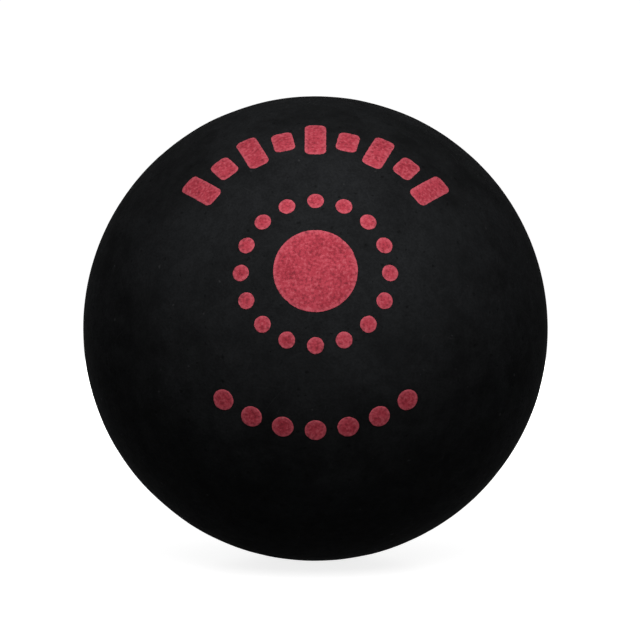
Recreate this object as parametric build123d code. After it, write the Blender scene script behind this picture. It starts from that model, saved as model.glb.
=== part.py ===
from build123d import *
import os
from math import cos, degrees, radians, sin

# Squash ball: two moulded rubber half shells, cemented edge to edge into a sealed hollow ball,
# buffed matt and printed on one side with films of ink.
# Millimetres, +Z up, origin at the ball's centre. Y is the axis that both half shells are moulded
# about, the seam lies in the XZ plane, and the printed half faces -Y.

# Ball
ball_diameter = 40.0  # the rules of the game ask for 40.0, give or take 0.5
wall_thickness = 5.2  # brings the ball to 24 g in rubber of 1.2 g/cm3

# Seam
cement_thickness = 0.12  # rubber cement between the two edge faces
cement_recess = 0.05  # how far below the ball's surface the cement ends
edge_break_radius = 0.08  # outer corner of each edge face, rounded by buffing
bead_radius = 0.6  # cement squeezed out round the inside of the seam

# Print: distances run along the ball's surface from the print's centre, the print axis
ink_thickness = 0.05
print_tilt = 22.0  # degrees from -Y up to the print axis
centre_dot_diameter = 7.0
ring_distance = 6.3  # to the ring of small dots round the centre dot
ring_dot_diameter = 1.4
ring_dot_count = 16
scale_distance = 13.6  # up to the middle of the curved scale of marks
scale_pitch = 12.5  # degrees round the print axis from one mark to the next
scale_mark_count = 9  # long and short in turn, beginning and ending with a long one
scale_mark_width = 1.8
long_mark_height = 4.2
short_mark_height = 2.6
scale_mark_corner = 0.5
lower_dot_distance = 13.6  # down to the middle of the curved row of dots
lower_dot_diameter = 1.8
lower_dot_pitch = 12.5  # degrees round the print axis
lower_dot_count = 7

ball_radius = ball_diameter / 2
cavity_radius = ball_radius - wall_thickness
tilt = radians(print_tilt)
print_axis = Plane(origin=(0, 0, 0), x_dir=(1, 0, 0), z_dir=(0, -cos(tilt), sin(tilt))).location
ink_layer = Sphere(ball_radius + ink_thickness) - Sphere(ball_radius)


def half_shell(side):
    # side is -1 for the printed front half and 1 for the plain rear half.
    edge_face = cement_thickness / 2
    depth = ball_radius - edge_face
    half_plane = Pos(ball_radius / 2, side * (edge_face + depth / 2)) * Rectangle(ball_radius, depth)
    section = (Circle(ball_radius) - Circle(cavity_radius)) & half_plane
    outer_corner = section.vertices().sort_by(Axis.X)[-1]
    section = fillet(outer_corner, edge_break_radius)
    return revolve(section, Axis.Y)


def seam_cement():
    web_inner = cavity_radius - bead_radius / 2
    web_outer = ball_radius - cement_recess
    web = Pos((web_inner + web_outer) / 2, 0) * Rectangle(web_outer - web_inner, cement_thickness)
    bead = (Pos(cavity_radius, 0) * Circle(bead_radius)) & Circle(cavity_radius)
    return revolve(web + bead, Axis.Y)


def centred(count, pitch):
    return [pitch * (index - (count - 1) / 2) for index in range(count)]


def arc_angle(distance):
    # Degrees about the ball's centre that a distance along its surface takes up.
    return degrees(distance / ball_radius)


def film(outline, turn):
    # The ink that a flat outline leaves where it is pressed straight onto the ball, at a turn
    # about the ball's centre away from the print axis.
    return (ink_layer & extrude(print_axis * turn * outline, ball_diameter)).solid()


def centre_dot():
    return [film(Circle(centre_dot_diameter / 2), Rot(0, 0, 0))]


def dot_ring():
    dot = Circle(ring_dot_diameter / 2)
    outwards = Rot(-arc_angle(ring_distance), 0, 0)
    turns = [360 / ring_dot_count * index for index in range(ring_dot_count)]
    return [film(dot, Rot(0, 0, turn) * outwards) for turn in turns]


def scale_marks():
    corner = min(scale_mark_corner, scale_mark_width / 3)  # a narrow mark has room for no more
    long_mark = RectangleRounded(scale_mark_width, long_mark_height, corner)
    short_mark = RectangleRounded(scale_mark_width, short_mark_height, corner)
    upwards = Rot(-arc_angle(scale_distance), 0, 0)
    films = []
    for index, turn in enumerate(centred(scale_mark_count, scale_pitch)):
        mark = short_mark if index % 2 else long_mark
        films.append(film(mark, Rot(0, 0, turn) * upwards))
    return films


def lower_dots():
    dot = Circle(lower_dot_diameter / 2)
    downwards = Rot(arc_angle(lower_dot_distance), 0, 0)
    return [film(dot, Rot(0, 0, turn) * downwards) for turn in centred(lower_dot_count, lower_dot_pitch)]


nodes = {
    "front_half_shell": half_shell(-1),
    "rear_half_shell": half_shell(1),
    "seam_cement": seam_cement(),
    "centre_dot_ink": Compound(centre_dot()),
    "dot_ring_ink": Compound(dot_ring()),
    "scale_mark_ink": Compound(scale_marks()),
    "lower_dot_ink": Compound(lower_dots()),
}

os.makedirs("parts", exist_ok=True)
for name, shape in nodes.items():
    export_step(shape, f"parts/{name}.step")
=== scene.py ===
import math
import bpy
from mathutils import Matrix, Vector
from mathutils.kdtree import KDTree


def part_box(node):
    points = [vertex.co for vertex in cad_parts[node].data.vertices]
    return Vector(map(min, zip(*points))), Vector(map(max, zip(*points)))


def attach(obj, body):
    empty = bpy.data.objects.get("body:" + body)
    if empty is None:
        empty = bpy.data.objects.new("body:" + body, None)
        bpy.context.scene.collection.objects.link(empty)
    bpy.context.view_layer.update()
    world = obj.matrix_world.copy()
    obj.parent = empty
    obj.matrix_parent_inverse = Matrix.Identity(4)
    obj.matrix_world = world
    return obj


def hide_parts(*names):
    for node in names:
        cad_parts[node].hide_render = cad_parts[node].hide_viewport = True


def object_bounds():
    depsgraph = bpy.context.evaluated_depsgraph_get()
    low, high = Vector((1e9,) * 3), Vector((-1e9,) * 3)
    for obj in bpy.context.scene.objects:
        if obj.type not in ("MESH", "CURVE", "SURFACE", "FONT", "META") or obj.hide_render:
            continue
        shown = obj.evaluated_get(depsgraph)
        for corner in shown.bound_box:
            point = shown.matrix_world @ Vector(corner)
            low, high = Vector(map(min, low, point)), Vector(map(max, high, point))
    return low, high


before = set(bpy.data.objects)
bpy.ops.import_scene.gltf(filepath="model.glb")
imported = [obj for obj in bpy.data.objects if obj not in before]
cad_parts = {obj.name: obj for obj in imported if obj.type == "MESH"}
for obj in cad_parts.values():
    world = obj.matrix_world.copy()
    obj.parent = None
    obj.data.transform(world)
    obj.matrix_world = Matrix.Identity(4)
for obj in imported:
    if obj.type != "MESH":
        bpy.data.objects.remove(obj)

cadLow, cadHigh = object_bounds()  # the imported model's box, before it is dressed
mm = 0.001
tiny = 1e-7  # points nearer than this are one point
frontLow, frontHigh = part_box("front_half_shell")
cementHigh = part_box("seam_cement")[1]

ball = {
    "radius": -frontLow.y,
    "edgeFace": -frontHigh.y,  # from the middle of the seam to each edge face
    "wall": 5.2 * mm,
}
ball["cavity"] = ball["radius"] - ball["wall"]
print("frame loaded, ball radius", round(ball["radius"] / mm, 3), "mm")


def deselectAll():
    if bpy.context.object and bpy.context.object.mode != "OBJECT":
        bpy.ops.object.mode_set(mode="OBJECT")
    bpy.ops.object.select_all(action="DESELECT")


def makeActive(piece):
    deselectAll()
    piece.select_set(True)
    bpy.context.view_layer.objects.active = piece


def editMode(kind="VERT"):
    bpy.ops.object.mode_set(mode="EDIT")
    bpy.ops.mesh.select_mode(type=kind)


def objectMode():
    bpy.ops.object.mode_set(mode="OBJECT")


def selectMesh():
    bpy.ops.mesh.select_all(action="SELECT")


def named(name):
    piece = bpy.context.active_object
    piece.name = name
    piece.data.name = name
    return piece


def pickVertices(piece, wanted):  # leaves edit mode on, with only the wanted vertices selected
    editMode()
    bpy.ops.mesh.select_all(action="DESELECT")
    objectMode()
    for vertex in piece.data.vertices:
        vertex.select = wanted(vertex.co)
    editMode()


def closeUp():  # merges doubles, turns the faces outwards and leaves edit mode
    selectMesh()
    bpy.ops.mesh.remove_doubles(threshold=tiny)
    bpy.ops.mesh.normals_make_consistent(inside=False)
    objectMode()


def applyAll(piece):
    makeActive(piece)
    for modifier in list(piece.modifiers):
        bpy.ops.object.modifier_apply(modifier=modifier.name)


def joinAll(pieces, name):
    deselectAll()
    for piece in pieces:
        piece.select_set(True)
    bpy.context.view_layer.objects.active = pieces[0]
    if len(pieces) > 1:
        bpy.ops.object.join()
    return named(name)


def rotation(angle, axis):
    return Matrix.Rotation(angle, 4, axis)


def cloudTexture(name, size, depth):
    texture = bpy.data.textures.new(name, "CLOUDS")
    texture.noise_scale = size
    texture.noise_depth = depth
    return texture


def displace(piece, texture, amount, group, direction="NORMAL", coords="LOCAL"):
    modifier = piece.modifiers.new(texture.name, "DISPLACE")
    modifier.texture = texture
    modifier.texture_coords = coords
    modifier.strength = amount
    modifier.direction = direction
    modifier.vertex_group = group


def fade(value, low, high):  # 0 below low, 1 above high, smooth between
    share = min(max((value - low) / (high - low), 0.0), 1.0)
    return share * share * (3 - 2 * share)


def takePlace(piece, node, smoothAngle):  # shades a finished piece and puts it where its node is
    makeActive(piece)
    bpy.ops.object.shade_smooth_by_angle(angle=smoothAngle)
    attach(piece, "root")
    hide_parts(node)
    print(piece.name, "made,", len(piece.data.polygons), "faces")


# Half shells: a round outer skin, a buffed edge, a flat edge face and the wall of the hollow

halfShell = {
    "outerCuts": (71, 1),  # two rounds, as one takes at most 100 cuts
    "innerCuts": (47,),
    "edgeRound": 0.08 * mm,
    "roundSteps": 5,
    "faceRings": 4,
    "swellSize": 3.8 * mm,
    "swellDepth": 1,
    "swell": 0.05 * mm,
    "rippleSize": 1.1 * mm,
    "rippleDepth": 2,
    "ripple": 0.018 * mm,
    "calmFrom": 0.25 * mm,  # the edge stays true where it meets the other half
    "calmTo": 1.6 * mm,
    "smoothAngle": math.radians(40),
}
swellTexture = cloudTexture("buffedSwell", halfShell["swellSize"], halfShell["swellDepth"])
rippleTexture = cloudTexture("buffedRipple", halfShell["rippleSize"], halfShell["rippleDepth"])


def roundCube(name, radius, cuts):
    deselectAll()
    bpy.ops.mesh.primitive_cube_add(size=2 * radius)
    piece = named(name)
    editMode()
    selectMesh()
    for count in cuts:
        bpy.ops.mesh.subdivide(number_cuts=count)
    objectMode()
    cast = piece.modifiers.new("round", "CAST")
    cast.cast_type = "SPHERE"
    cast.factor = 1
    cast.use_radius_as_size = False
    cast.size = radius
    applyAll(piece)
    return piece


def cutAtSeam(side, height):  # leaves edit mode on, with the new rim selected
    editMode()
    selectMesh()
    bpy.ops.mesh.bisect(plane_co=(0, side * height, 0), plane_no=(0, -side, 0),
                        clear_outer=True, threshold=tiny)


def extrudeRim(radii, heights, side):  # each pair is (from, to), about the moulding axis
    bpy.ops.mesh.extrude_region_move(
        TRANSFORM_OT_translate={"value": (0, side * (heights[1] - heights[0]), 0)})
    grow = radii[1] / radii[0]
    bpy.ops.transform.resize(value=(grow, 1, grow), center_override=(0, 0, 0))


def makeBowl(name, side):  # outer skin, rounded edge and edge face, all but the face's last ring
    face = ball["edgeFace"]
    bend = halfShell["edgeRound"]
    bowl = roundCube(name, ball["radius"], halfShell["outerCuts"])
    height = face + bend
    rim = math.sqrt(ball["radius"] ** 2 - height ** 2)
    cutAtSeam(side, height)
    start = rim
    steps = halfShell["roundSteps"]
    for step in range(1, steps + 1):  # quarter round at the outer corner
        angle = math.pi / 2 * step / steps
        nextRim = start - bend * (1 - math.cos(angle))
        nextHeight = face + bend * (1 - math.sin(angle))
        extrudeRim((rim, nextRim), (height, nextHeight), side)
        rim, height = nextRim, nextHeight
    innerRim = math.sqrt(ball["cavity"] ** 2 - face ** 2)
    rings = halfShell["faceRings"]
    stepIn = (rim - innerRim) / rings
    for ring in range(rings - 1):
        extrudeRim((rim, rim - stepIn), (height, height), side)
        rim -= stepIn
    objectMode()
    return bowl


def addHollow(bowl, side):  # the wall of the hollow, with the last ring of the edge face as a bridge to it
    name = bowl.name
    hollow = roundCube(name + "Hollow", ball["cavity"], halfShell["innerCuts"])
    cutAtSeam(side, ball["edgeFace"])
    selectMesh()
    aside = Vector((0, -2 * side * ball["cavity"], 0))  # clear of the bowl, or the bridge twists
    bpy.ops.transform.translate(value=aside)
    objectMode()
    shell = joinAll([bowl, hollow], name)
    editMode("EDGE")
    bpy.ops.mesh.select_all(action="DESELECT")
    bpy.ops.mesh.select_non_manifold(extend=False, use_wire=False, use_boundary=True,
                                     use_multi_face=False, use_non_contiguous=False, use_verts=False)
    bpy.ops.mesh.bridge_edge_loops()
    pickVertices(shell, lambda co: side * co.y < 0)
    bpy.ops.transform.translate(value=-aside)
    closeUp()
    return shell


def buffSkin(shell):  # makes the outer skin slightly uneven
    skin = shell.vertex_groups.new(name="skin")
    for vertex in shell.data.vertices:
        if vertex.co.length > ball["radius"] - halfShell["edgeRound"]:
            weight = fade(abs(vertex.co.y), halfShell["calmFrom"], halfShell["calmTo"])
            skin.add([vertex.index], weight, "REPLACE")
    displace(shell, swellTexture, halfShell["swell"], "skin")
    displace(shell, rippleTexture, halfShell["ripple"], "skin")
    applyAll(shell)


def makeHalfShell(name, node, side):  # side is -1 for the front and 1 for the rear
    shell = addHollow(makeBowl(name, side), side)
    buffSkin(shell)
    takePlace(shell, node, halfShell["smoothAngle"])
    return shell


frontShell = makeHalfShell("frontHalfShell", "front_half_shell", -1)
rearShell = makeHalfShell("rearHalfShell", "rear_half_shell", 1)


# Seam cement: a thin web between the edge faces, with a squeezed-out bead round the hollow

seamCement = {
    "webOuter": cementHigh.x,
    "webHalf": ball["edgeFace"],
    "bead": cementHigh.y,
    "lip": 0.05 * mm,
    "beadRound": 0.98,  # share of the bead's reach that is rounded
    "beadSegments": 7,
    "steps": 240,
    "lumpSize": 2.6 * mm,
    "lump": 0.22 * mm,
    "edgeSize": 0.9 * mm,
    "edge": 0.02 * mm,
    "cloudDepth": 1,
    "smoothAngle": math.radians(50),
}


def cementSection():  # the outline of the web and the bead, in the XY plane, left in edit mode
    inner, outer = ball["cavity"], seamCement["webOuter"]
    lip, bead = seamCement["lip"], seamCement["bead"]
    reach = bead - lip
    deselectAll()
    bpy.ops.mesh.primitive_plane_add(size=1, location=((inner + outer) / 2, 0, 0))
    section = named("seamCement")
    section.scale = (outer - inner, 2 * seamCement["webHalf"], 1)
    bpy.ops.object.transform_apply(location=True, rotation=False, scale=True)
    pickVertices(section, lambda co: co.x < inner + tiny)
    for stretch, step in ((bead / seamCement["webHalf"], lip), (1, reach)):
        bpy.ops.mesh.extrude_region_move(TRANSFORM_OT_translate={"value": (-step, 0, 0)})
        bpy.ops.transform.resize(value=(1, stretch, 1), center_override=(0, 0, 0))
    bpy.ops.mesh.bevel(offset=reach * seamCement["beadRound"], segments=seamCement["beadSegments"],
                       affect="VERTICES")
    selectMesh()
    bpy.ops.mesh.dissolve_faces()
    selectMesh()
    bpy.ops.mesh.delete(type="ONLY_FACE")
    return section


def roughenCement(ring):  # lumps on the bead and an uneven outer edge
    beadGroup = ring.vertex_groups.new(name="bead")
    edgeGroup = ring.vertex_groups.new(name="edge")
    for vertex in ring.data.vertices:
        reach = math.hypot(vertex.co.x, vertex.co.z)
        if reach < ball["cavity"] - 2 * seamCement["lip"]:
            beadGroup.add([vertex.index], 1, "REPLACE")
        if reach > seamCement["webOuter"] - tiny:
            edgeGroup.add([vertex.index], 1, "REPLACE")
    lumps = cloudTexture("beadLumps", seamCement["lumpSize"], seamCement["cloudDepth"])
    edge = cloudTexture("cementEdge", seamCement["edgeSize"], seamCement["cloudDepth"])
    displace(ring, lumps, seamCement["lump"], "bead")
    displace(ring, edge, seamCement["edge"], "edge")
    applyAll(ring)


def makeCement():
    ring = cementSection()
    selectMesh()
    bpy.ops.mesh.spin(steps=seamCement["steps"], angle=2 * math.pi, center=(0, 0, 0), axis=(0, 1, 0))
    closeUp()
    roughenCement(ring)
    takePlace(ring, "seam_cement", seamCement["smoothAngle"])
    return ring


cementRing = makeCement()


# Print: films of ink laid on the front half, each cut flat and pressed straight down onto the ball

inkFilm = {
    "tilt": math.radians(22),  # from -Y up to the middle of the print
    "start": 1.05,  # where a flat film waits before it is pressed, in ball radii
    "height": 0.04 * mm,
    "sink": 0.01 * mm,
    "rim": 0.016 * mm,
    "rimSegments": 2,
    "rimAngle": math.radians(50),
    "step": 0.12 * mm,  # between points round an outline
    "relaxRounds": 40,
    "relaxShare": 0.5,
    "fuzzSize": 0.35 * mm,
    "fuzzDepth": 1,
    "fuzz": 0.06 * mm,
    "ridge": 0.4 * mm,  # width of the fuller ink that the pad squeezes out to an outline
    "smoothAngle": math.radians(60),
}
centreDot = {"diameter": 7.0 * mm}
dotRing = {"diameter": 1.4 * mm, "distance": 6.3 * mm, "count": 16}
scaleMarks = {
    "distance": 13.6 * mm,
    "pitch": math.radians(12.5),
    "count": 9,
    "width": 1.8 * mm,
    "longHeight": 4.2 * mm,
    "shortHeight": 2.6 * mm,
    "corner": 0.5 * mm,
    "cornerSegments": 4,
}
lowerDots = {"diameter": 1.8 * mm, "distance": 13.6 * mm, "pitch": math.radians(12.5), "count": 7}
fuzzTexture = cloudTexture("inkEdge", inkFilm["fuzzSize"], inkFilm["fuzzDepth"])


def inkSteps(length):  # how many steps an outline takes over this length
    return round(length / inkFilm["step"])


def gridFill(piece, span):  # fills the outline with rows of quads
    makeActive(piece)
    editMode()
    selectMesh()
    bpy.ops.mesh.fill_grid(span=span)
    objectMode()


def flatDot(name, diameter):
    deselectAll()
    quarter = inkSteps(math.pi * diameter / 4)
    bpy.ops.mesh.primitive_circle_add(vertices=4 * quarter, radius=diameter / 2, fill_type="NOTHING")
    dot = named(name)
    gridFill(dot, quarter)
    pickVertices(dot, lambda co: co.length < diameter / 2 - tiny)
    bpy.ops.mesh.vertices_smooth(factor=inkFilm["relaxShare"], repeat=inkFilm["relaxRounds"])
    objectMode()
    return dot


def flatMark(name, height):
    width = scaleMarks["width"]
    corner = scaleMarks["corner"]
    segments = scaleMarks["cornerSegments"]
    deselectAll()
    bpy.ops.mesh.primitive_plane_add(size=1)
    mark = named(name)
    mark.scale = (width, height, 1)
    bpy.ops.object.transform_apply(location=False, rotation=False, scale=True)
    editMode()
    selectMesh()
    bpy.ops.mesh.bevel(offset=corner, segments=segments, affect="VERTICES")
    selectMesh()
    bpy.ops.mesh.delete(type="ONLY_FACE")
    acrossSteps = inkSteps(width - 2 * corner)
    upSteps = inkSteps(height - 2 * corner)
    pickVertices(mark, lambda co: abs(abs(co.y) - height / 2) < tiny)
    bpy.ops.mesh.subdivide(number_cuts=acrossSteps - 1)
    pickVertices(mark, lambda co: abs(abs(co.x) - width / 2) < tiny)
    bpy.ops.mesh.subdivide(number_cuts=upSteps - 1)
    objectMode()
    gridFill(mark, acrossSteps + segments)
    return mark


def outlinePoints(piece):
    uses = {}
    for polygon in piece.data.polygons:
        for key in polygon.edge_keys:
            uses[key] = uses.get(key, 0) + 1
    return sorted({index for key, count in uses.items() if count == 1 for index in key})


def markRidge(film, flat, rimPoints):  # 1 at the outline, down to 0 inside it, kept as an attribute
    outline = KDTree(len(rimPoints))
    for index in rimPoints:
        outline.insert(flat.data.vertices[index].co, index)
    outline.balance()
    ridge = film.data.attributes.new("ridge", "FLOAT", "POINT")
    for vertex in film.data.vertices:
        place, index, distance = outline.find((vertex.co.x, vertex.co.y, 0))
        ridge.data[vertex.index].value = 1 - fade(distance, 0, inkFilm["ridge"])


def pressFilm(flat, turn):  # a copy of a flat outline, turned away from the print axis and pressed down
    makeActive(flat)
    bpy.ops.object.duplicate(linked=False)
    film = bpy.context.active_object
    toPrint = rotation(math.pi / 2 - inkFilm["tilt"], "X")
    film.matrix_world = toPrint @ turn @ Matrix.Translation((0, 0, ball["radius"] * inkFilm["start"]))
    bpy.context.view_layer.update()
    rimPoints = outlinePoints(film)
    film.vertex_groups.new(name="outline").add(rimPoints, 1, "REPLACE")
    for direction in ("X", "Y"):
        displace(film, fuzzTexture, inkFilm["fuzz"], "outline", direction, "GLOBAL")
    press = film.modifiers.new("press", "SHRINKWRAP")
    press.target = frontShell
    press.wrap_method = "PROJECT"
    press.use_project_z = True
    press.use_negative_direction = True
    press.use_positive_direction = False
    body = film.modifiers.new("body", "SOLIDIFY")
    body.thickness = inkFilm["height"] + inkFilm["sink"]
    body.offset = (inkFilm["height"] - inkFilm["sink"]) / body.thickness
    rim = film.modifiers.new("rim", "BEVEL")
    rim.width = inkFilm["rim"]
    rim.segments = inkFilm["rimSegments"]
    rim.limit_method = "ANGLE"
    rim.angle_limit = inkFilm["rimAngle"]
    applyAll(film)
    markRidge(film, flat, rimPoints)
    bpy.ops.object.transform_apply(location=True, rotation=True, scale=True)
    return film


def layFilms(name, node, flats):  # flats are pairs of a flat outline and its turn from the print axis
    piece = joinAll([pressFilm(flat, turn) for flat, turn in flats], name)
    editMode()
    closeUp()
    takePlace(piece, node, inkFilm["smoothAngle"])
    return piece


def eitherSide(count, pitch):  # angles at this pitch, half of them to each side
    return [pitch * (index - (count - 1) / 2) for index in range(count)]


def aroundPrint(angles, distance):  # turns that carry a film this far below the print axis, then round it
    return [rotation(angle, "Z") @ rotation(distance / ball["radius"], "X") for angle in angles]


def makePrint():
    centreFlat = flatDot("centreDotFlat", centreDot["diameter"])
    ringFlat = flatDot("ringDotFlat", dotRing["diameter"])
    lowerFlat = flatDot("lowerDotFlat", lowerDots["diameter"])
    longFlat = flatMark("longMarkFlat", scaleMarks["longHeight"])
    shortFlat = flatMark("shortMarkFlat", scaleMarks["shortHeight"])
    ringAngles = [2 * math.pi * index / dotRing["count"] for index in range(dotRing["count"])]
    ringTurns = aroundPrint(ringAngles, -dotRing["distance"])
    scaleTurns = aroundPrint(eitherSide(scaleMarks["count"], scaleMarks["pitch"]), -scaleMarks["distance"])
    lowerTurns = aroundPrint(eitherSide(lowerDots["count"], lowerDots["pitch"]), lowerDots["distance"])
    marks = [(shortFlat if index % 2 else longFlat, turn) for index, turn in enumerate(scaleTurns)]
    pieces = [
        layFilms("centreDotInk", "centre_dot_ink", [(centreFlat, Matrix.Identity(4))]),
        layFilms("dotRingInk", "dot_ring_ink", [(ringFlat, turn) for turn in ringTurns]),
        layFilms("scaleMarkInk", "scale_mark_ink", marks),
        layFilms("lowerDotInk", "lower_dot_ink", [(lowerFlat, turn) for turn in lowerTurns]),
    ]
    for flat in (centreFlat, ringFlat, lowerFlat, longFlat, shortFlat):
        bpy.data.objects.remove(flat)
    return pieces


printPieces = makePrint()


# Finishes: node groups for what several of them share, then one material for each


def put(tree, kind, inputs=None, **settings):  # one node, with values or links for its inputs
    node = tree.nodes.new(kind)
    for key, value in settings.items():
        setattr(node, key, value)
    for key, value in (inputs or {}).items():
        if isinstance(value, bpy.types.NodeSocket):
            tree.links.new(value, node.inputs[key])
        else:
            node.inputs[key].default_value = value
    return node


def calc(tree, operation, first, second=0.0):
    return put(tree, "ShaderNodeMath", {0: first, 1: second}, operation=operation).outputs[0]


def times(tree, first, *others):
    for other in others:
        first = calc(tree, "MULTIPLY", first, other)
    return first


def remap(tree, value, span, result=(0.0, 1.0)):  # smooth, and level outside the span
    inputs = {"Value": value, "From Min": span[0], "From Max": span[1],
              "To Min": result[0], "To Max": result[1]}
    return put(tree, "ShaderNodeMapRange", inputs, interpolation_type="SMOOTHSTEP").outputs["Result"]


def mixColour(tree, factor, first, second):  # its colour sockets share their names, so they go by number
    return put(tree, "ShaderNodeMix", {0: factor, 6: first, 7: second}, data_type="RGBA").outputs[2]


def noise(tree, vector, size, detail, roughness=0.55):  # size is that of the largest features
    scale = calc(tree, "DIVIDE", 1.0, size)
    inputs = {"Vector": vector, "Scale": scale, "Detail": detail, "Roughness": roughness}
    return put(tree, "ShaderNodeTexNoise", inputs).outputs["Fac"]


spotLook = {
    "drift": 3.0,  # how much finer than the spots the wobble of their outlines is
    "noiseMiddle": (0.5, 0.5, 0.5),
    "edge": (0.3, 1.0),  # where a spot starts to fade and where it ends, in shares of its radius
}


def spots(tree, vector, apart, largest, raggedness):  # scattered spots, a few large and most small
    scale = calc(tree, "DIVIDE", 1.0, apart)
    finer = times(tree, scale, spotLook["drift"])
    drift = put(tree, "ShaderNodeTexNoise", {"Vector": vector, "Scale": finer}).outputs["Color"]
    middle = spotLook["noiseMiddle"]
    drift = put(tree, "ShaderNodeVectorMath", {0: drift, 1: middle}, operation="SUBTRACT").outputs[0]
    amount = times(tree, apart, raggedness)
    drift = put(tree, "ShaderNodeVectorMath", {0: drift, "Scale": amount}, operation="SCALE").outputs[0]
    ragged = put(tree, "ShaderNodeVectorMath", {0: vector, 1: drift}, operation="ADD").outputs[0]
    cell = put(tree, "ShaderNodeTexVoronoi", {"Vector": ragged, "Scale": scale}).outputs
    number = put(tree, "ShaderNodeSeparateColor", {"Color": cell["Color"]}).outputs["Red"]
    radius = times(tree, number, number, number, largest)
    return remap(tree, calc(tree, "DIVIDE", cell["Distance"], radius), spotLook["edge"], (1.0, 0.0))


def newGroup(name, sizes, outputs):  # takes a position and some sizes, gives values from 0 to 1
    group = bpy.data.node_groups.new(name, "ShaderNodeTree")
    group.interface.new_socket("Vector", in_out="INPUT", socket_type="NodeSocketVector")
    for label, size in sizes.items():
        socket = group.interface.new_socket(label, in_out="INPUT", socket_type="NodeSocketFloat")
        socket.default_value = size
    for label in outputs:
        group.interface.new_socket(label, in_out="OUTPUT", socket_type="NodeSocketFloat")
    return group, put(group, "NodeGroupInput").outputs, put(group, "NodeGroupOutput").inputs


def useGroup(tree, group, vector, sizes):
    node = put(tree, "ShaderNodeGroup", node_tree=group)
    tree.links.new(vector, node.inputs["Vector"])
    for label, size in sizes.items():
        node.inputs[label].default_value = size
    return node.outputs


grainLook = {
    "size": 0.2 * mm,
    "fineDetail": 3.0,
    "fineRoughness": 0.65,
    "fineShare": 0.65,
    "broad": 3.5,  # the broader tooth and the pits' spacing, in grain sizes
    "broadDetail": 2.0,
    "broadShare": 0.35,
    "largestPit": 0.36,
    "pitRaggedness": 0.5,
    "pitDepth": 0.4,
    "toneSpan": (0.36, 0.64),
    "heightSpan": (0.2, 0.8),  # between the hollows and the tops
}


def makeBuffedGrain():  # the fine tooth that buffing leaves in rubber
    look = grainLook
    group, given, result = newGroup("buffedGrain", {"Size": look["size"]}, ["Height", "Tone", "Pits"])
    place, size = given["Vector"], given["Size"]
    fine = noise(group, place, size, look["fineDetail"], look["fineRoughness"])
    broadSize = times(group, size, look["broad"])
    broad = noise(group, place, broadSize, look["broadDetail"])
    pits = spots(group, place, broadSize, look["largestPit"], look["pitRaggedness"])
    fineTooth = times(group, fine, look["fineShare"])
    broadTooth = times(group, broad, look["broadShare"])
    tooth = calc(group, "ADD", fineTooth, broadTooth)
    height = calc(group, "SUBTRACT", tooth, times(group, pits, look["pitDepth"]))
    group.links.new(height, result["Height"])
    group.links.new(remap(group, tooth, look["toneSpan"]), result["Tone"])
    group.links.new(pits, result["Pits"])
    return group


smudgeLook = {
    "mottle": 2.4 * mm,
    "mottleDetail": 6.0,
    "mottleRoughness": 0.66,
    "mottleSpan": (0.3, 0.7),
    "patch": 9.0 * mm,
    "patchDetail": 7.0,
    "patchRoughness": 0.6,
    "patchSpan": (0.47, 0.62),
}


def makeSmudges():  # uneven tone: cloudy mottling, and wide patches with ragged edges
    look = smudgeLook
    sizes = {"Mottle": look["mottle"], "Patch": look["patch"]}
    group, given, result = newGroup("smudges", sizes, ["Mottle", "Patches"])
    place = given["Vector"]
    mottle = noise(group, place, given["Mottle"], look["mottleDetail"], look["mottleRoughness"])
    patch = noise(group, place, given["Patch"], look["patchDetail"], look["patchRoughness"])
    group.links.new(remap(group, mottle, look["mottleSpan"]), result["Mottle"])
    group.links.new(remap(group, patch, look["patchSpan"]), result["Patches"])
    return group


scuffLook = {
    "spacing": 1.3 * mm,
    "largestSpeck": 0.16,
    "speckRaggedness": 0.3,
    "reach": 5.0 * mm,
    "lineDetail": 0.6,
    "lineLevel": 0.5,  # the lines are where the noise passes this level
    "lineWidth": (0.001, 0.005),
    "breakSize": 0.4,  # in reaches
    "breakDetail": 4.0,
    "breakSpan": (0.52, 0.66),
}


def makeScuffs():  # pale specks of dust, and hair-thin rubbed lines that come and go
    look = scuffLook
    sizes = {"Spacing": look["spacing"], "Reach": look["reach"]}
    group, given, result = newGroup("scuffs", sizes, ["Dust", "Lines"])
    place, reach = given["Vector"], given["Reach"]
    level = noise(group, place, reach, look["lineDetail"])
    offLine = calc(group, "ABSOLUTE", calc(group, "SUBTRACT", level, look["lineLevel"]))
    line = remap(group, offLine, look["lineWidth"], (1.0, 0.0))
    breaks = noise(group, place, times(group, reach, look["breakSize"]), look["breakDetail"])
    comeAndGo = remap(group, breaks, look["breakSpan"])
    dust = spots(group, place, given["Spacing"], look["largestSpeck"], look["speckRaggedness"])
    group.links.new(dust, result["Dust"])
    group.links.new(times(group, line, comeAndGo), result["Lines"])
    return group


buffedGrain = makeBuffedGrain()
smudges = makeSmudges()
scuffs = makeScuffs()


def newMaterial(name):
    material = bpy.data.materials.new(name)
    material.use_nodes = True
    tree = material.node_tree
    return material, tree, put(tree, "ShaderNodeTexCoord").outputs["Object"]


def shaded(tree, colour, mask, share, tone):  # lays a tone over the colour, where the mask says
    return mixColour(tree, times(tree, mask, share), colour, tone)


def connect(tree, finish, colour, roughness, height):  # bump depth and gloss come from the finish
    shader = tree.nodes["Principled BSDF"]
    bump = put(tree, "ShaderNodeBump", {"Strength": 1.0, "Distance": finish["tooth"], "Height": height})
    tree.links.new(colour, shader.inputs["Base Color"])
    tree.links.new(roughness, shader.inputs["Roughness"])
    tree.links.new(bump.outputs["Normal"], shader.inputs["Normal"])
    shader.inputs["Specular IOR Level"].default_value = finish["specular"]


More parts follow.
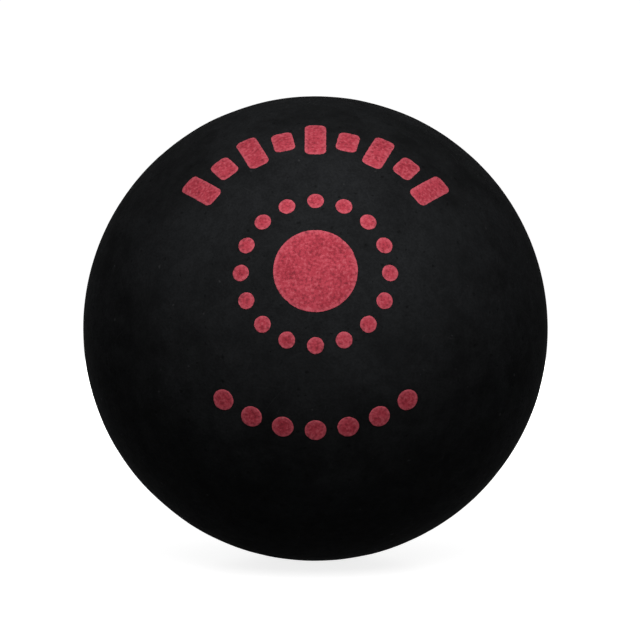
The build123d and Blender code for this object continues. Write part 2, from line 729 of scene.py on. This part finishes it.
rubberFinish = {
    "deep": (0.0080, 0.0083, 0.0087, 1),
    "pale": (0.0143, 0.0149, 0.0156, 1),
    "bloomAndHighlight": (0.0215, 0.0228, 0.0245, 1),  # the dull film that comes out of rubber in patches, and the pale tone of the painted highlight
    "bloomShare": 0.4,
    "highlightTilt": math.radians(26),  # the middle of the painted highlight: rubber made paler round the print on the upper front, where the key light falls
    "highlightReach": (10.5 * mm, 15.0 * mm),
    "highlightShare": 0.3,
    "hollowTone": (0.0050, 0.0052, 0.0054, 1),  # down in the pits and the grain
    "pitShare": 0.6,
    "grainShare": 0.42,
    "dust": (0.060, 0.061, 0.063, 1),
    "dustShare": 0.35,
    "lineShare": 0.1,
    "grain": 0.2 * mm,
    "mottle": 2.6 * mm,
    "patch": 9.0 * mm,
    "tooth": 0.07 * mm,  # depth of the grain
    "roughness": (1.0, 0.86),  # from hollows to tops
    "specular": 0.006,
    "seamBand": (0.3 * mm, 1.1 * mm),  # either side of the seam, dressed smooth and darker
    "seamShare": 0.6,
}


def paintedHighlight(tree, place):  # how much painted highlight there is: paler rubber, full round the print on the upper front where the key light falls
    tilt = rubberFinish["highlightTilt"]
    middle = ball["radius"] * Vector((0, -math.cos(tilt), math.sin(tilt)))
    away = put(tree, "ShaderNodeVectorMath", {0: place, 1: middle}, operation="DISTANCE").outputs["Value"]
    return remap(tree, away, rubberFinish["highlightReach"], (rubberFinish["highlightShare"], 0.0))


def makeRubber():
    finish = rubberFinish
    material, tree, place = newMaterial("buffedRubber")
    grain = useGroup(tree, buffedGrain, place, {"Size": finish["grain"]})
    tone = useGroup(tree, smudges, place, {"Mottle": finish["mottle"], "Patch": finish["patch"]})
    wear = useGroup(tree, scuffs, place, {})
    across = put(tree, "ShaderNodeSeparateXYZ", {"Vector": place}).outputs["Y"]
    seam = remap(tree, calc(tree, "ABSOLUTE", across), finish["seamBand"], (1.0, 0.0))
    low = calc(tree, "SUBTRACT", 1.0, grain["Tone"])
    colour = mixColour(tree, tone["Mottle"], finish["deep"], finish["pale"])
    colour = shaded(tree, colour, tone["Patches"], finish["bloomShare"], finish["bloomAndHighlight"])
    # painted highlight: the upper front round the print is made paler, where the key light falls
    colour = mixColour(tree, paintedHighlight(tree, place), colour, finish["bloomAndHighlight"])
    colour = shaded(tree, colour, seam, finish["seamShare"], finish["deep"])
    colour = shaded(tree, colour, low, finish["grainShare"], finish["hollowTone"])
    colour = shaded(tree, colour, grain["Pits"], finish["pitShare"], finish["hollowTone"])
    colour = shaded(tree, colour, wear["Lines"], finish["lineShare"], finish["dust"])
    colour = shaded(tree, colour, wear["Dust"], finish["dustShare"], finish["dust"])
    roughness = remap(tree, grain["Height"], grainLook["heightSpan"], finish["roughness"])
    connect(tree, finish, colour, roughness, grain["Height"])
    return material


inkFinish = {
    "full": (0.50, 0.056, 0.083, 1),
    "thin": (0.37, 0.035, 0.054, 1),
    "ridge": (0.62, 0.120, 0.155, 1),
    "ridgeShare": 0.5,
    "chalk": (0.60, 0.125, 0.155, 1),  # dry, paler grains
    "chalkShare": 0.6,
    "chalkSpan": (0.5, 0.69),
    "bare": (0.060, 0.016, 0.020, 1),  # rubber that shows through pinholes
    "bareShare": 0.45,
    "bareSpan": (0.31, 0.5),
    "pitShare": 0.3,
    "dust": (0.50, 0.40, 0.40, 1),
    "dustShare": 0.12,
    "mottle": 1.4 * mm,
    "stipple": 0.24 * mm,
    "stippleDetail": 2.0,
    "stippleRoughness": 0.6,
    "grain": 0.2 * mm,
    "tooth": 0.05 * mm,
    "roughness": (0.85, 0.68),
    "specular": 0.03,
}


def makeInk():
    finish = inkFinish
    material, tree, place = newMaterial("padPrintedInk")
    grain = useGroup(tree, buffedGrain, place, {"Size": finish["grain"]})
    tone = useGroup(tree, smudges, place, {"Mottle": finish["mottle"]})
    wear = useGroup(tree, scuffs, place, {})
    ridge = put(tree, "ShaderNodeAttribute", attribute_name="ridge").outputs["Fac"]
    stipple = noise(tree, place, finish["stipple"], finish["stippleDetail"], finish["stippleRoughness"])
    chalk = remap(tree, stipple, finish["chalkSpan"], (0.0, finish["chalkShare"]))
    bare = remap(tree, stipple, finish["bareSpan"], (finish["bareShare"], 0.0))
    colour = mixColour(tree, tone["Mottle"], finish["thin"], finish["full"])
    colour = shaded(tree, colour, ridge, finish["ridgeShare"], finish["ridge"])
    colour = mixColour(tree, chalk, colour, finish["chalk"])
    colour = mixColour(tree, bare, colour, finish["bare"])
    colour = shaded(tree, colour, grain["Pits"], finish["pitShare"], finish["bare"])
    colour = shaded(tree, colour, wear["Dust"], finish["dustShare"], finish["dust"])
    roughness = remap(tree, grain["Height"], grainLook["heightSpan"], finish["roughness"])
    connect(tree, finish, colour, roughness, grain["Height"])
    return material


cementFinish = {
    "deep": (0.016, 0.0150, 0.0138, 1),
    "pale": (0.034, 0.0310, 0.0278, 1),
    "mottle": 2.5 * mm,
    "grain": 0.4 * mm,
    "tooth": 0.03 * mm,
    "roughness": (0.86, 1.0),  # from bare places to patches
    "specular": 0.006,
}


def makeCementFinish():
    finish = cementFinish
    material, tree, place = newMaterial("driedCement")
    grain = useGroup(tree, buffedGrain, place, {"Size": finish["grain"]})
    tone = useGroup(tree, smudges, place, {"Mottle": finish["mottle"]})
    colour = mixColour(tree, tone["Mottle"], finish["deep"], finish["pale"])
    roughness = remap(tree, tone["Patches"], (0.0, 1.0), finish["roughness"])
    connect(tree, finish, colour, roughness, grain["Height"])
    return material


def dress(piece, material):
    piece.data.materials.clear()
    piece.data.materials.append(material)


rubber = makeRubber()
ink = makeInk()
dress(frontShell, rubber)
dress(rearShell, rubber)
dress(cementRing, makeCementFinish())
for piece in printPieces:
    dress(piece, ink)
print("finishes made")


# Stage: floor, soft light and the camera

studio = {
    "floorSize": 6000 * mm,
    "floorLit": 0.8,  # share of the floor's look that takes light and shadow
    "floorGlow": 0.82,
    "bounce": (0.12, 0.12, 0.12, 1),  # how the floor looks to the light that it throws back
    "ambient": 0.28,
}
keyBox = {
    "level": 0.93,  # how bright it makes a white card at the ball's nearest point
    "size": 52 * mm,
    "distance": 68 * mm,
    "elevation": math.radians(40),
    "azimuth": math.radians(3),  # to the right of the print
}
rearBox = {  # low behind the ball, so that the back is not lost and the outline in front stays dark
    "level": 0.8,
    "size": 40 * mm,
    "distance": 120 * mm,
    "elevation": math.radians(0),
    "azimuth": math.radians(180),
}
white = (1, 1, 1, 1)


def seenDirectly(tree):  # 1 for the camera and for mirror and glass rays, 0 for bounced light
    path = put(tree, "ShaderNodeLightPath").outputs
    mirrored = calc(tree, "MAXIMUM", path["Is Glossy Ray"], path["Is Transmission Ray"])
    return calc(tree, "MAXIMUM", path["Is Camera Ray"], mirrored)


def makeFloor():
    deselectAll()
    bpy.ops.mesh.primitive_plane_add(size=studio["floorSize"], location=(0, 0, cadLow.z))
    floor = named("floor")
    bpy.ops.object.transform_apply(location=True, rotation=False, scale=False)
    material = bpy.data.materials.new("paleFloor")
    material.use_nodes = True
    tree = material.node_tree
    tree.nodes.remove(tree.nodes["Principled BSDF"])
    grey = studio["floorLit"]
    lit = put(tree, "ShaderNodeBsdfDiffuse", {"Color": (grey, grey, grey, 1)}).outputs[0]
    glow = put(tree, "ShaderNodeEmission", {"Strength": studio["floorGlow"]}).outputs[0]
    shown = put(tree, "ShaderNodeAddShader", {0: lit, 1: glow}).outputs[0]
    bounced = put(tree, "ShaderNodeBsdfDiffuse", {"Color": studio["bounce"]}).outputs[0]
    surface = put(tree, "ShaderNodeMixShader", {0: seenDirectly(tree), 1: bounced, 2: shown}).outputs[0]
    tree.links.new(surface, tree.nodes["Material Output"].inputs["Surface"])
    dress(floor, material)


def makeWorld():
    world = bpy.data.worlds.new("studio")
    world.use_nodes = True
    bpy.context.scene.world = world
    tree = world.node_tree
    tree.nodes.remove(tree.nodes["Background"])
    shown = put(tree, "ShaderNodeBackground", {"Color": white, "Strength": 1.0}).outputs[0]
    soft = put(tree, "ShaderNodeBackground", {"Color": white, "Strength": studio["ambient"]}).outputs[0]
    surface = put(tree, "ShaderNodeMixShader", {0: seenDirectly(tree), 1: soft, 2: shown}).outputs[0]
    tree.links.new(surface, tree.nodes["World Output"].inputs["Surface"])


def makeSoftbox(name, box):  # a square lamp, aimed at the middle of the ball
    light = bpy.data.lights.new(name, "AREA")
    light.size = box["size"]
    reach = box["distance"] - ball["radius"]
    light.energy = box["level"] * math.pi ** 2 * (reach ** 2 + box["size"] ** 2 / math.pi)  # watts
    lamp = bpy.data.objects.new(name, light)
    bpy.context.scene.collection.objects.link(lamp)
    aim = rotation(box["azimuth"], "Z") @ rotation(math.pi / 2 - box["elevation"], "X")
    lamp.matrix_world = aim @ Matrix.Translation((0, 0, box["distance"]))
    lamp.visible_camera = False


camera = {
    "elevation": math.radians(8),
    "distance": 500 * mm,
    "nearest": 10 * mm,
    "frame": 640,  # pixels across the picture
    "ballCentre": (315.47, 328.57),
    "ballRadius": 232.36,
}


def makeCamera():
    data = bpy.data.cameras.new("camera")
    eye = bpy.data.objects.new("camera", data)
    bpy.context.scene.collection.objects.link(eye)
    elevation, distance = camera["elevation"], camera["distance"]
    eye.location = (0, -distance * math.cos(elevation), distance * math.sin(elevation))
    eye.rotation_euler = (math.pi / 2 - elevation, 0, 0)
    outline = math.tan(math.asin(ball["radius"] / distance))
    data.lens = data.sensor_width * camera["ballRadius"] / camera["frame"] / outline
    middle = camera["frame"] / 2
    data.shift_x = (middle - camera["ballCentre"][0]) / camera["frame"]
    data.shift_y = (camera["ballCentre"][1] - middle) / camera["frame"]
    data.clip_start = camera["nearest"]
    bpy.context.scene.camera = eye


makeFloor()
makeWorld()
makeSoftbox("keyBox", keyBox)
makeSoftbox("rearBox", rearBox)
makeCamera()
bpy.context.scene.view_settings.view_transform = "Standard"
print("stage set")
